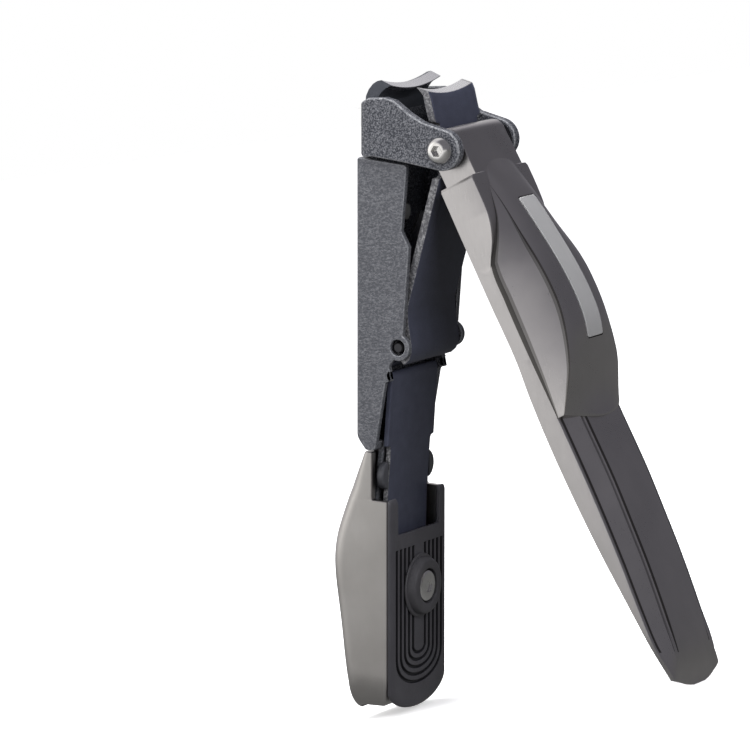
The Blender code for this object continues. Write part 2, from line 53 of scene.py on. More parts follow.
LEVER_PAST = 3.6          # degrees the closed lever passes the body's axis
BODY_HALF = 9.85
LEAF_HINGE = (8.6, -33.4)


def clipper_matrices():
    """Clipper coordinates to the frame, for the body and for the open lever."""
    pivot = next(joint for joint in frame["joints"] if joint["name"] == "lever_pivot")
    spine = frame["record"]["mounts"][0]["axis"]
    lean = math.atan2(spine[2], spine[1])
    body = Matrix.Translation(pivot["pos_m"]) @ Matrix.Rotation(lean, 4, "X")
    opened = math.radians(pivot["range_deg"][1] - LEVER_PAST)
    return body, body @ Matrix.Rotation(-opened, 4, "X")


BODY, LEVER = clipper_matrices()


# Curves and outlines

def through(points, at):
    """Smooth curve through (place, value) points, places falling, read at one place."""
    if at >= points[0][0]:
        return points[0][1]
    if at <= points[-1][0]:
        return points[-1][1]
    last = len(points) - 1
    i = next(k for k in range(last) if points[k][0] >= at >= points[k + 1][0])
    slopes = []
    for k in (i, i + 1):
        before = points[max(k - 1, 0)]
        after = points[min(k + 1, last)]
        slopes.append((after[1] - before[1]) / (after[0] - before[0]))
    step = points[i + 1][0] - points[i][0]
    t = (at - points[i][0]) / step
    return ((2 * t**3 - 3 * t**2 + 1) * points[i][1] + (t**3 - 2 * t**2 + t) * step * slopes[0]
            + (3 * t**2 - 2 * t**3) * points[i + 1][1] + (t**3 - t**2) * step * slopes[1])


def ramp(at, start, end):
    """0 before start, 1 after end, smooth between."""
    t = min(max((at - start) / (end - start), 0.0), 1.0)
    return t * t * (3 - 2 * t)


def arc(centre, radius, start, end, steps):
    """Points along an arc, its angles in degrees."""
    points = []
    for i in range(steps + 1):
        angle = math.radians(start + (end - start) * i / steps)
        points.append((centre[0] + radius * math.cos(angle), centre[1] + radius * math.sin(angle)))
    return points


def spread(start, end, steps):
    """Evenly spaced values, both ends included."""
    return [start + (end - start) * i / steps for i in range(steps + 1)]


def fillet(points, radius, steps=4, least=25):
    """Outline with its corners rounded, where they turn sharply and there is room."""
    rounded = []
    count = len(points)
    for i in range(count):
        before, here, after = Vector(points[i - 1]), Vector(points[i]), Vector(points[(i + 1) % count])
        to_before, to_after = before - here, after - here
        corner = to_before.angle(to_after)
        if math.degrees(math.pi - corner) < least:
            rounded.append(tuple(here))
            continue
        setback = min(radius / math.tan(corner / 2), to_before.length * 0.45, to_after.length * 0.45)
        start = here + to_before.normalized() * setback
        end = here + to_after.normalized() * setback
        for k in range(steps + 1):
            t = k / steps
            rounded.append(tuple(start * (1 - t) ** 2 + here * 2 * t * (1 - t) + end * t * t))
    return rounded


# Meshes

def round_edges(piece, width, segments, angle):
    """Bevel a piece's sharp edges by a width in millimetres."""
    bevel = piece.modifiers.new("rounded_edges", "BEVEL")
    bevel.width = width * MM
    bevel.segments = segments
    bevel.limit_method = "ANGLE"
    bevel.angle_limit = math.radians(angle)
    bevel.harden_normals = False
    return bevel


def soften(piece, width, segments=3, angle=38, rim=-1):
    """Round the sharp edges of a cut sheet or block; rim is the paint given to the roundings, a lighter one where
    they carry a painted highlight.
    """
    piece.data.set_sharp_from_angle(angle=math.radians(angle))
    bevel = round_edges(piece, width, segments, angle)
    bevel.use_clamp_overlap = False
    bevel.miter_outer = "MITER_ARC"
    bevel.material = rim


def finish_mesh(name, shape, paints, space=BODY, sharp=35, bevel=0.0, segments=3):
    """Painted object from a bmesh that was drawn in millimetres."""
    bmesh.ops.remove_doubles(shape, verts=shape.verts, dist=WELD)
    bmesh.ops.recalc_face_normals(shape, faces=shape.faces)
    if shape.calc_volume(signed=True) < 0:
        bmesh.ops.reverse_faces(shape, faces=shape.faces)
    shape.transform(space @ Matrix.Scale(MM, 4))
    mesh = bpy.data.meshes.new(name)
    shape.to_mesh(mesh)
    shape.free()
    mesh.shade_smooth()
    mesh.set_sharp_from_angle(angle=math.radians(sharp))
    piece = bpy.data.objects.new(name, mesh)
    bpy.context.scene.collection.objects.link(piece)
    for paint in paints:
        mesh.materials.append(paint)
    if bevel:
        round_edges(piece, bevel, segments, sharp)
    return piece


def stand_in(piece, node, body="frame"):
    """Let a piece replace a CAD node's plain shape and move with its body."""
    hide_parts(node)
    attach(piece, body)


def whole_piece(name, shape, paints, node, slot=None, body="frame", **settings):
    """A piece that needs no cuts."""
    stand_in(finish_mesh(name, shape, paints, **settings), node, body)


def grid(rows, caps=True, closed=True, paint_of=None):
    """bmesh through equal rings of (x, y, z); paint_of(row, column) picks the material."""
    shape = bmesh.new()
    lines = [[shape.verts.new(point) for point in row] for row in rows]
    count = len(rows[0])
    for r, (first, second) in enumerate(zip(lines, lines[1:])):
        for c in range(count if closed else count - 1):
            d = (c + 1) % count
            face = shape.faces.new((first[c], first[d], second[d], second[c]))
            if paint_of:
                face.material_index = paint_of(r, c)
    if caps:
        shape.faces.new(lines[0])
        shape.faces.new(list(reversed(lines[-1])))
    return shape


def column_prism(outline, low, high):
    """Solid along Z with an (x, y) outline."""
    return grid([[(x, y, z) for x, y in outline] for z in (low, high)])


def side_prism(outline, stations):
    """Solid across X with a (y, z) outline."""
    return grid([[(x, y, z) for y, z in outline] for x in stations])


def front_prism(outline, stations):
    """Solid along Y with an (x, z) outline."""
    return grid([[(x, y, z) for x, z in outline] for y in stations])


def turned(profile, axis, centre, steps=TURNED_STEPS, ring=False):
    """Turned solid: (along, radius) profile; ring closes it round a bore."""
    rows = []
    for i in range(steps):
        angle = 2 * math.pi * i / steps
        c, s = math.cos(angle), math.sin(angle)
        if axis == "X":
            rows.append([(centre[0] + a, centre[1] + r * c, centre[2] + r * s) for a, r in profile])
        else:
            rows.append([(centre[0] + r * c, centre[1] + a, centre[2] + r * s) for a, r in profile])
    return grid(rows + rows[:1], caps=False, closed=ring)


def apply_cuts(piece, cutters, operation="DIFFERENCE"):
    """Cut (or join) with other meshes, keep the result as the piece's own mesh, drop the cutters."""
    for cutter in cutters:
        step = piece.modifiers.new(cutter.name, "BOOLEAN")
        step.object = cutter
        step.operation = operation
        step.solver = "EXACT"
    bpy.context.view_layer.update()
    graph = bpy.context.evaluated_depsgraph_get()
    mesh = bpy.data.meshes.new_from_object(piece.evaluated_get(graph))
    old = piece.data
    piece.data = mesh
    bpy.data.meshes.remove(old)
    piece.modifiers.clear()
    for cutter in cutters:
        bpy.data.objects.remove(cutter, do_unlink=True)


def tool(name, shape, paint, space=BODY):
    """A cutter: it rides on nothing and is gone once it has cut. A cut wall takes the cutter's paint
    where the piece has it too, and the piece's first paint otherwise."""
    return finish_mesh(name, shape, [paint], space)


def hole_tool(name, axis, centre, radius, start, end, paint, steps=40):
    """Cutter for a round (or, with few steps, hexagonal) hole."""
    profile = [(start, 0), (start, radius), (end, radius), (end, 0)]
    return tool(name, turned(profile, axis, centre, steps), paint)


def side_tools(name, outline, corner, depths, paint):
    """Two cutters, one for each long side, from one (x, z) outline."""
    rounded = fillet(outline, corner)
    return [tool(name, front_prism([(side * x, z) for x, z in rounded], depths), paint) for side in (-1, 1)]


# Materials

class Nodes:
    """Short way to build a shader tree."""

    def __init__(self, name):
        self.material = bpy.data.materials.new(name)
        self.material.use_nodes = True
        self.tree = self.material.node_tree
        self.shader = self.tree.nodes["Principled BSDF"]
        self.place = self.add("ShaderNodeTexCoord").outputs["Object"]

    def add(self, kind, **settings):
        node = self.tree.nodes.new(kind)
        for key, value in settings.items():
            setattr(node, key, value)
        return node

    def link(self, start, end):
        self.tree.links.new(start, end)

    def noise(self, scale, detail=2.0, stretch=(1, 1, 1), roughness=0.5):
        """Noise of a given size in features per millimetre, stretched along the axes."""
        mapping = self.add("ShaderNodeMapping")
        mapping.inputs["Scale"].default_value = [scale * s / MM for s in stretch]
        self.link(self.place, mapping.inputs["Vector"])
        noise = self.add("ShaderNodeTexNoise")
        noise.inputs["Scale"].default_value = 1.0
        noise.inputs["Detail"].default_value = detail
        noise.inputs["Roughness"].default_value = roughness
        self.link(mapping.outputs["Vector"], noise.inputs["Vector"])
        return noise.outputs["Fac"]

    def between(self, value, low, high, out_low, out_high):
        node = self.add("ShaderNodeMapRange")
        node.inputs["From Min"].default_value = low
        node.inputs["From Max"].default_value = high
        node.inputs["To Min"].default_value = out_low
        node.inputs["To Max"].default_value = out_high
        self.link(value, node.inputs["Value"])
        return node.outputs["Result"]

    def feed(self, socket, value):
        """Give a socket a colour, a number or another node's output."""
        if isinstance(value, tuple):
            socket.default_value = (*value, 1.0)
        elif isinstance(value, float):
            socket.default_value = value
        else:
            self.link(value, socket)

    def mix(self, factor, first, second):
        node = self.add("ShaderNodeMix", data_type="RGBA")
        for name, value in (("Factor", factor), ("A", first), ("B", second)):
            self.feed(node.inputs[name], value)
        return node.outputs["Result"]

    def math(self, operation, first, second):
        node = self.add("ShaderNodeMath", operation=operation)
        self.feed(node.inputs[0], first)
        self.feed(node.inputs[1], second)
        return node.outputs["Value"]

    def bump(self, height, depth):
        """Bump whose full height is depth millimetres."""
        node = self.add("ShaderNodeBump")
        node.inputs["Distance"].default_value = depth * MM
        self.link(height, node.inputs["Height"])
        self.link(node.outputs["Normal"], self.shader.inputs["Normal"])

    def set(self, **values):
        """Feed the main shader, an underscore standing for a space in a socket's name."""
        for key, value in values.items():
            self.feed(self.shader.inputs[key.replace("_", " ")], value)


def satin_metal(name, colour, dark, roughness=0.34, grain=(1.0, 1.0, 0.06), metallic=1.0):
    """Bead-blasted and plated metal: fine lengthwise grain, clouded tone and roughness."""
    n = Nodes(name)
    cloud = n.noise(0.12, 4.0)
    fine = n.noise(9.0, 2.0, grain)
    speck = n.noise(16.0, 1.0)
    tone = n.between(cloud, 0.3, 0.7, 0.0, 1.0)
    rough = n.math("ADD", n.between(fine, 0.3, 0.7, roughness - 0.05, roughness + 0.06),
                   n.between(cloud, 0.3, 0.7, -0.025, 0.025))
    n.set(Base_Color=n.mix(tone, dark, colour), Metallic=metallic, Roughness=rough)
    n.bump(n.math("ADD", n.math("MULTIPLY", fine, 0.6), n.math("MULTIPLY", speck, 0.4)), 0.006)
    return n.material


def hammertone(name, base, fleck, size=3.0, depth=0.05, stretch=(1, 1, 1)):
    """Hammertone paint: a bumpy skin with small pale metallic flecks in a dark ground."""
    n = Nodes(name)
    flake = n.between(n.noise(size, 3.0, stretch, 0.6), 0.42, 0.74, 0.0, 1.0)
    wave = n.noise(size * 0.55, 2.0, stretch)
    tone = n.between(n.noise(0.35, 3.0), 0.3, 0.7, 0.75, 1.1)
    colour = n.mix(n.math("MULTIPLY", flake, tone), base, fleck)
    n.set(Base_Color=colour, Metallic=0.3, Roughness=n.between(flake, 0.0, 1.0, 0.52, 0.36))
    n.bump(n.math("ADD", wave, n.math("MULTIPLY", flake, 0.5)), depth)
    return n.material


def smooth_coat(name, base, pale, roughness=0.45, metallic=0.0):
    """Smooth blue-black coating: low sheen, faint mottling and orange peel."""
    n = Nodes(name)
    mottle = n.noise(0.5, 4.0)
    peel = n.noise(3.0, 2.0)
    n.set(Base_Color=n.mix(n.between(mottle, 0.3, 0.7, 0.0, 1.0), base, pale), Metallic=metallic,
          Roughness=n.between(n.noise(6.0), 0.3, 0.7, roughness - 0.05, roughness + 0.07),
          Specular_IOR_Level=0.35)
    n.bump(peel, 0.008)
    return n.material


def ground_steel(name, colour=(0.90, 0.90, 0.91), roughness=0.28):
    """Ground steel: fine parallel scratches across the edge."""
    n = Nodes(name)
    scratch = n.noise(6.0, 3.0, (0.15, 3.0, 3.0))
    n.set(Base_Color=n.mix(n.between(scratch, 0.3, 0.7, 0.0, 1.0), tuple(c * 0.8 for c in colour), colour),
          Metallic=1.0, Roughness=n.between(scratch, 0.3, 0.7, roughness - 0.08, roughness + 0.1))
    n.bump(scratch, 0.01)
    return n.material


def sheared_edge(name):
    """Cut edge of a coated sheet: rough, with bright breakout spots."""
    n = Nodes(name)
    tear = n.noise(2.2, 4.0, (1.0, 1.0, 1.0), 0.7)
    colour = n.mix(n.between(tear, 0.45, 0.72, 0.0, 1.0), (0.10, 0.10, 0.11), (0.42, 0.42, 0.43))
    n.set(Base_Color=colour, Metallic=0.5, Roughness=0.45)
    n.bump(tear, 0.06)
    return n.material


def bright_metal(name, colour, roughness):
    """Polished or blackened steel with a little haze."""
    n = Nodes(name)
    haze = n.noise(1.2, 3.0)
    n.set(Base_Color=n.mix(n.between(haze, 0.3, 0.7, 0.0, 1.0), tuple(c * 0.9 for c in colour), colour),
          Metallic=1.0, Roughness=n.between(haze, 0.3, 0.7, roughness - 0.03, roughness + 0.06))
    n.bump(n.noise(8.0), 0.003)
    return n.material


def fine_plastic(name, base, pale, roughness=0.42):
    """Moulded plastic with a fine spark-eroded texture."""
    n = Nodes(name)
    texture = n.noise(5.0, 3.0)
    cloud = n.noise(0.25, 3.0)
    n.set(Base_Color=n.mix(n.between(cloud, 0.3, 0.7, 0.0, 1.0), base, pale), Metallic=0.0,
          Roughness=n.between(texture, 0.3, 0.7, roughness - 0.04, roughness + 0.08))
    n.bump(texture, 0.012)
    return n.material


# Painted shade: the channel's hammertone darkened for its inner faces, where shade falls
CHANNEL_INSIDE_SHADE = hammertone("channel_inside_painted_shade", (0.035, 0.037, 0.046), (0.22, 0.224, 0.25), 2.6, 0.09)
JAW_COAT = smooth_coat("jaw_grey_blue", (0.055, 0.060, 0.072), (0.075, 0.080, 0.095), 0.4, 0.55)
# Painted shade: the grip plate's plastic darkened to near black for the shade in its grooves
GROOVE_SHADE = fine_plastic("groove_painted_shade", (0.010, 0.010, 0.012), (0.014, 0.014, 0.016), 0.5)
LEVER_SATIN = satin_metal("lever_satin", (0.59, 0.57, 0.565), (0.52, 0.505, 0.50), 0.33)
# Painted shade: darker copies of the lever's satin metal, a dark one for shadow lines in its creases and a
# half-dark one beside them
LEVER_SHADOW_LINE = satin_metal("lever_painted_shadow_line", (0.13, 0.125, 0.12), (0.10, 0.095, 0.09), 0.4)
LEVER_SHADE = satin_metal("lever_shade", (0.32, 0.31, 0.30), (0.27, 0.26, 0.25), 0.38)
HOUSING_SATIN = satin_metal("housing_satin", (0.50, 0.485, 0.47), (0.43, 0.415, 0.40), 0.36)
CHANNEL_PAINT = hammertone("channel_hammertone", (0.076, 0.079, 0.091), (0.185, 0.189, 0.206), 2.8, 0.07,
                           (1, 0.8, 1.25))
BRACKET_PAINT = hammertone("bracket_hammertone", (0.034, 0.037, 0.047), (0.27, 0.275, 0.30), 3.6, 0.08)
# Painted highlights: lighter hammertone for the rounded edges of the bracket and the channel
BRACKET_RIM_HIGHLIGHT = hammertone("bracket_rim_painted_highlight", (0.13, 0.135, 0.15), (0.42, 0.425, 0.44), 3.6, 0.04)
CHANNEL_RIM_HIGHLIGHT = hammertone("channel_rim_painted_highlight", (0.13, 0.135, 0.15), (0.30, 0.305, 0.32), 2.8, 0.04)
LEAF_COAT = smooth_coat("leaf_blue_black", (0.034, 0.037, 0.056), (0.042, 0.046, 0.069))
COVER_COAT = smooth_coat("cover_blue_black", (0.034, 0.037, 0.056), (0.043, 0.047, 0.070))
EDGE_STEEL = ground_steel("ground_edge")
SHEARED = sheared_edge("sheared_edge")
SCREW_BRIGHT = bright_metal("screw_bright", (0.80, 0.79, 0.77), 0.16)
SCREW_DULL = bright_metal("screw_dull", (0.42, 0.42, 0.42), 0.34)
BLACKENED = bright_metal("blackened_steel", (0.06, 0.06, 0.065), 0.32)
PLATE_PLASTIC = fine_plastic("plate_plastic", (0.040, 0.039, 0.045), (0.050, 0.049, 0.056))
BOSS_PLASTIC = fine_plastic("boss_plastic", (0.038, 0.037, 0.041), (0.048, 0.047, 0.052), 0.46)
TAB_PLASTIC = fine_plastic("tab_plastic", (0.03, 0.031, 0.036), (0.042, 0.043, 0.05), 0.4)
INLAY_METAL = satin_metal("inlay_metal", (0.47, 0.47, 0.475), (0.41, 0.41, 0.415), 0.5, (1.0, 1.0, 1.0), 0.45)


# Lever: heights are y, front is the low side. Lists fall along z.

LEVER_HALF = 9.85
NECK_HALF = 8.13
NECK_END = -5.7
HUMP_TOP = -6.7           # where the hump's arch meets its sides
HUMP_END = -47.7
HUMP_END_SAG = 2.3
ARCH_HALF = 5.75
ARCH_RISE = 2.6
PLATE_Y = [(3.1, -1.7), (2.75, -2.25), (2.2, -2.7), (1.3, -3.0), (-12.5, -3.0), (-16.5, -1.8),
           (-20.9, 0.9), (-22.5, 1.3), (-40.0, 1.3)]
SKIRT_Y = [(3.1, -1.1), (2.2, -2.1), (1.3, -2.45), (-12.5, -2.45), (-16.5, -1.3), (-20.9, 1.15),
           (-26.5, 1.55), (-35.0, 1.75), (-48.0, 1.75), (-61.0, 1.9), (-73.0, 2.4), (-81.5, 3.0),
           (-89.0, 3.4), (-93.4, 3.5)]
CREST_Y = [(-4.0, -3.1), (-7.0, -3.95), (-12.0, -5.25), (-19.0, -6.4), (-25.5, -7.15), (-31.0, -7.3),
           (-35.3, -6.75), (-40.0, -5.05), (-45.0, -2.85), (-49.0, -1.9), (-51.0, -1.8)]
BROW_X = [(-6.7, 5.75), (-13.0, 6.1), (-17.5, 6.5), (-24.0, 7.1), (-31.0, 7.25), (-36.0, 7.75), (-43.0, 9.0),
          (-47.5, 9.75)]
BROW_Y = [(-6.7, -2.7), (-7.9, -2.95), (-12.0, -3.9), (-17.0, -4.8), (-24.0, -6.1), (-30.0, -6.3),
          (-35.0, -5.6), (-40.5, -3.9), (-44.7, -1.6), (-47.6, 0.15)]
FACET_X = [(-6.7, 5.8), (-13.75, 8.06), (-16.9, 9.0), (-20.9, 9.84), (-22.0, 9.84)]
REAR_Y = [(-5.7, 3.75), (-16.0, 3.95), (-26.0, 4.1), (-36.0, 4.15), (-43.0, 4.75), (-51.0, 5.1),
          (-60.0, 5.15), (-70.0, 4.9), (-80.0, 4.3), (-88.0, 3.8), (-93.4, 3.6)]
PANEL_Y = [(-44.0, -1.4), (-50.0, -1.35), (-60.0, -1.3), (-68.0, -0.9), (-75.0, -0.45), (-82.0, 0.25),
           (-87.0, 0.9), (-91.0, 1.6), (-93.5, 2.4), (-95.3, 3.2), (-96.4, 3.45)]
GROOVE_IN = 5.6
GROOVE_OUT = 7.0
GROOVE_COLUMNS = (5, 6, 11, 16)       # columns painted dark as shade: the groove's walls and the facet's outer line
GROOVE_DEEP = 0.5
CROWN_POWER = 2.6
PLATE_CAMBER = 0.35       # how far the plate's edges lie behind its middle
PANEL_DISH = 0.12
TIP_SAG = 2.9             # the tip's middle hangs lower than its sides
SIDE_WALL = 1.25
FRONT_WALL = 1.6
BORE_RADIUS = 1.8
SHADOW_LINE, SHADE = 1, 2        # places of the painted shadow-line paint and the painted-shade paint among the lever's paints
INLAY_HALF = 2.65
INLAY_TOP = -11.9
INLAY_END = -37.6


def lever_half(z):
    """Half width: neck, rounded shoulder, full width, narrowing a little at the tip."""
    if z > NECK_END:
        return NECK_HALF
    shoulder = LEVER_HALF - 0.35 * (1 - ramp(-z, -NECK_END, -NECK_END + 0.6))
    return shoulder - 1.5 * ramp(-z, 84, 95) ** 2


def lever_rear(z):
    if z > 0:
        return math.sqrt(max(3.3**2 - z * z, 0.5))
    return 3.3 if z > NECK_END else through(REAR_Y, z)


def panel_y(across, z):
    """Thumb panel of the lower lever: flat middle, a groove on each side, sloping outer facets."""
    middle = through(PANEL_Y, z)
    depth = GROOVE_DEEP * (1 - ramp(-z, 84, 91.5))
    if across <= GROOVE_IN:
        return middle + PANEL_DISH * (across / GROOVE_IN) ** 2
    start = middle + PANEL_DISH + 0.7 * depth
    if across <= GROOVE_OUT:
        t = (across - GROOVE_IN) / (GROOVE_OUT - GROOVE_IN)
        wall = ramp(t, 0.0, 0.4)
        return middle + PANEL_DISH + depth * wall + (start - middle - PANEL_DISH - depth) * ramp(t, 0.7, 1.0)
    edge = max(through(SKIRT_Y, z) - 0.3, start)
    t = min((across - GROOVE_OUT) / (9.2 - GROOVE_OUT), 1.0)
    return start + (edge - start) * t


def base_y(across, z):
    """Front of the lever without its hump."""
    half = lever_half(z)
    plate = through(PLATE_Y, z) + PLATE_CAMBER * (across / half) ** 2
    if z > -36:
        return plate
    return plate + (panel_y(across, z) - plate) * ramp(-z, 36, 40)


def bowed(z, sag, x):
    """Height at x of a row whose middle sags."""
    return z - sag * (1 - (x / LEVER_HALF) ** 2)


def base_row(z):
    """Closed ring of the lever's base at a height, front columns then the two rear corners."""
    half = lever_half(z)
    across = [0, 1.6, 3.2, 4.6, 5.3, GROOVE_IN, 5.75, 5.9, 6.1, 6.35, 6.6, 6.8, GROOVE_OUT]
    across += [GROOVE_OUT + (half - GROOVE_OUT) * f for f in (0.15, 0.35, 0.55, 0.7, 0.82)]
    brow = across[-1]
    sag = TIP_SAG * ramp(-z, 80, 93.4)
    columns = []
    for x in across:
        low = bowed(z, sag, x)
        columns.append((x, base_y(x, low), low))
    inner = columns[-1][1]
    edge = max(through(SKIRT_Y, z), inner + 0.1)
    for s in (0.25, 0.5, 0.75, 0.92, 1.0):
        x = brow + (half - brow) * s
        columns.append((x, inner + (edge - inner) * (1 - math.sqrt(1 - s * s)), bowed(z, sag, x)))
    rear = max(lever_rear(z), edge + 0.12)
    end = columns[-1][2]
    middle = z - sag
    third = (end + 2 * middle) / 3
    back = [(half * share, rear, low)
            for share, low in ((1, end), (0.5, third), (0, middle), (-0.5, third), (-1, end))]
    return [(-x, y, low) for x, y, low in reversed(columns[1:])] + columns + back


def hump_row(z):
    """Closed ring of the hump: crown between the brows, then a slightly crowned facet on each side."""
    brow_x = through(BROW_X, z)
    brow_y = through(BROW_Y, z)
    facet_x = max(through(FACET_X, z), brow_x + 0.04)
    facet_y = base_y(facet_x, z) + 0.03 if z > -20.9 else through(SKIRT_Y, z) - 0.12
    arch = 1 - ramp(-z, -HUMP_TOP, 17)
    sag = HUMP_END_SAG * ramp(-z, 34, -HUMP_END)
    columns = []
    for i in range(15):
        share = i / 14
        x = share * brow_x
        rise = ARCH_RISE * arch * math.sqrt(max(1 - (x / ARCH_HALF) ** 2, 0))
        low = bowed(z + rise, sag, x)
        crest = through(CREST_Y, low)
        columns.append((x, crest + (brow_y - crest) * share**CROWN_POWER, low))
    for share in (0.05, 0.12, 0.3, 0.5, 0.7, 0.85, 0.91, 1.0):
        x = brow_x + (facet_x - brow_x) * share
        crowning = 0.05 * math.sin(math.pi * share) * (facet_y - brow_y)
        columns.append((x, brow_y + (facet_y - brow_y) * share - crowning, bowed(z, sag, x)))
    return [(-x, y, low) for x, y, low in reversed(columns[1:])] + columns


def hump_shape():
    """The hump as a solid that sinks into the base, with painted shade along its edges: dark shadow lines at the
    brows and the facets' outer edges, softer painted shade beside them.
    """
    stations = [HUMP_TOP, -6.9, -7.3, -7.9, -8.7, -9.7] + spread(-11, -40, 40) + spread(-40.6, -47.2, 9)
    rows = [hump_row(z) for z in stations + [-47.5, HUMP_END]]
    rows[-1] = [(x, y + 0.1, z) for x, y, z in rows[-1]]
    starts = [[(x, 2.0, z) for x, y, z in row] for row in (rows[0], rows[-1])]
    rings = []
    for row in [starts[0]] + rows + [starts[1]]:
        left, right = row[0], row[-1]
        rings.append(row + [(right[0], 2.6, right[2]), (left[0], 2.6, left[2])])
    last = len(rows[0]) - 2
    # columns painted as shade: shadow lines and the half-dark bands beside them
    paints = {0: SHADOW_LINE, 1: SHADE, 6: SHADE, 7: SHADOW_LINE,
              last - 8: SHADE, last - 7: SHADOW_LINE, last - 1: SHADE, last: SHADOW_LINE}
    return grid(rings, paint_of=lambda row, column: paints.get(column, 0))


def hollow_shape():
    """Space inside the lever, open at the back and through the top."""
    rows = []
    for z in spread(4.6, 2.4, 2) + spread(0, -90.5, 60):
        half = NECK_HALF - SIDE_WALL - 2.4 * ramp(-z, 60, 90.5)
        row = []
        for i in range(21):
            x = half * (i / 10 - 1)
            across = min(abs(x) + 1.2, 8.0)
            front = base_y(across, z)
            if -46 < z < -9:
                crest = through(CREST_Y, z)
                share = min(across / through(BROW_X, z), 1.0)
                front = crest + (through(BROW_Y, z) - crest) * share**CROWN_POWER
            row.append((x, min(front + FRONT_WALL, 3.2), z))
        rows.append(row + [(half, 9, z), (-half, 9, z)])
    return grid(rows)


def inlay_shape(half, margin, proud, deep):
    """Strip that follows the hump's crest, with rounded corners in plan."""
    top, end = INLAY_TOP - margin, INLAY_END + margin
    corner = 0.5
    rows = []
    stations = [top] + [top - corner * (1 - math.cos(math.radians(a))) for a in (30, 60, 90)]
    stations += spread(top - 1.4, end + 1.4, 30)
    stations += [end + corner * (1 - math.cos(math.radians(a))) for a in (90, 60, 30)] + [end]
    for z in stations:
        near = min(abs(z - top), abs(z - end), corner)
        width = half - corner + math.sqrt(max(corner**2 - (corner - near) ** 2, 0))
        crest = through(CREST_Y, z)
        row = []
        for i in range(9):
            x = width * (i / 4 - 1)
            row.append((x, crest + proud + 0.25 * (abs(x) / 5.0) ** CROWN_POWER, z))
        rows.append(row + [(width, crest + deep, z), (-width, crest + deep, z)])
    return grid(rows)


def make_lever():
    stations = [3.1, 2.95, 2.75, 2.5, 2.2, 1.8, 1.3, 0.5, -1, -3, -5, NECK_END + 0.05, NECK_END - 0.05,
                -5.85, -6.05, -6.3] + spread(-7, -92, 84) + [-92.6, -93.1, -93.4]
    rows = [base_row(z) for z in stations]
    middle = (len(rows[0]) - 5) // 2
    lines = [middle + k for k in GROOVE_COLUMNS] + [middle - 1 - k for k in GROOVE_COLUMNS]
    # the lower panel's groove walls and facet lines take the painted shadow-line paint
    base = grid(rows, paint_of=lambda row, column: SHADOW_LINE * int(-88 < stations[row] < -47 and column in lines))
    paints = [LEVER_SATIN, LEVER_SHADOW_LINE, LEVER_SHADE]
    lever = finish_mesh("lever_casting", base, paints, LEVER, sharp=24)
    apply_cuts(lever, [finish_mesh("lever_hump", hump_shape(), paints, LEVER)], "UNION")
    bore = turned([(-12, 0), (-12, BORE_RADIUS), (12, BORE_RADIUS), (12, 0)], "X", (0, 0, 0), 48)
    pocket = inlay_shape(INLAY_HALF + 0.18, -0.18, -3, 0.8)
    # the inlay pocket's walls take the dark shadow-line paint, a painted shadow round the inlay
    apply_cuts(lever, [tool("lever_space", hollow_shape(), LEVER_SATIN, LEVER),
                       tool("lever_bore", bore, LEVER_SATIN, LEVER),
                       tool("inlay_pocket", pocket, LEVER_SHADOW_LINE, LEVER)])
    lever.data.set_sharp_from_angle(angle=math.radians(24))
    stand_in(lever, "lever_shell", "lever")
    inlay = inlay_shape(INLAY_HALF, 0, -0.08, 0.6)
    whole_piece("lever_inlay", inlay, [INLAY_METAL], "inlay_strip", "inlay_aluminium", "lever", space=LEVER,
                bevel=0.12)


# Spine: channel, bracket and its claw

CHANNEL_BACK = 16.5
CHANNEL_WALL = 1.1
CHANNEL_WEB = 1.2
LUG_RADIUS = 2.2
WEB_FRONT = 13.2
WEB_BACK = 14.4
BRACKET_BACK = 15.6
EAR_INNER = 8.95
EAR_OUTER = 10.75
TONGUE_HALF = 7.1
STRAP_HALF = 8.2
CLAW_HALF = 8.6
LEAF_HALF = 8.3
LEAF_TAIL_HALF = 7.9
LEAF_THICK = 1.4
COVER_HALF = 8.0
COVER_THICK = 0.9
TRIM = 0.001              # a cutter that keeps a face stands this far outside it


def u_outline(half, back, front, corner, steps=8):
    """Outline, seen from above, of a box whose two back corners are rounded."""
    right = arc((half - corner, back - corner), corner, 0, 90, steps)
    left = arc((-half + corner, back - corner), corner, 90, 180, steps)
    return [(half, front)] + right + left + [(-half, front)]


def channel_side():
    """Channel seen from the side, with its lug and the slit below it."""
    hinge_z = LEAF_HINGE[1]
    front = [(6.9, -3.0), (7.9, -14.0), (6.5, -16.5), (7.6, -31.2)]
    ring = arc(LEAF_HINGE, LUG_RADIUS, 115, 290, 28)
    slit = [(10.3, hinge_z - 3.3)] + arc((9.6, hinge_z - 4.8), 0.8, 60, -80, 8)
    tail = [(10.9, -39.4), (12.9, -51.0), (14.6, -51.0), (CHANNEL_BACK, -48.6), (CHANNEL_BACK, -2.1)]
    return fillet(front + ring + slit + tail, 0.7)


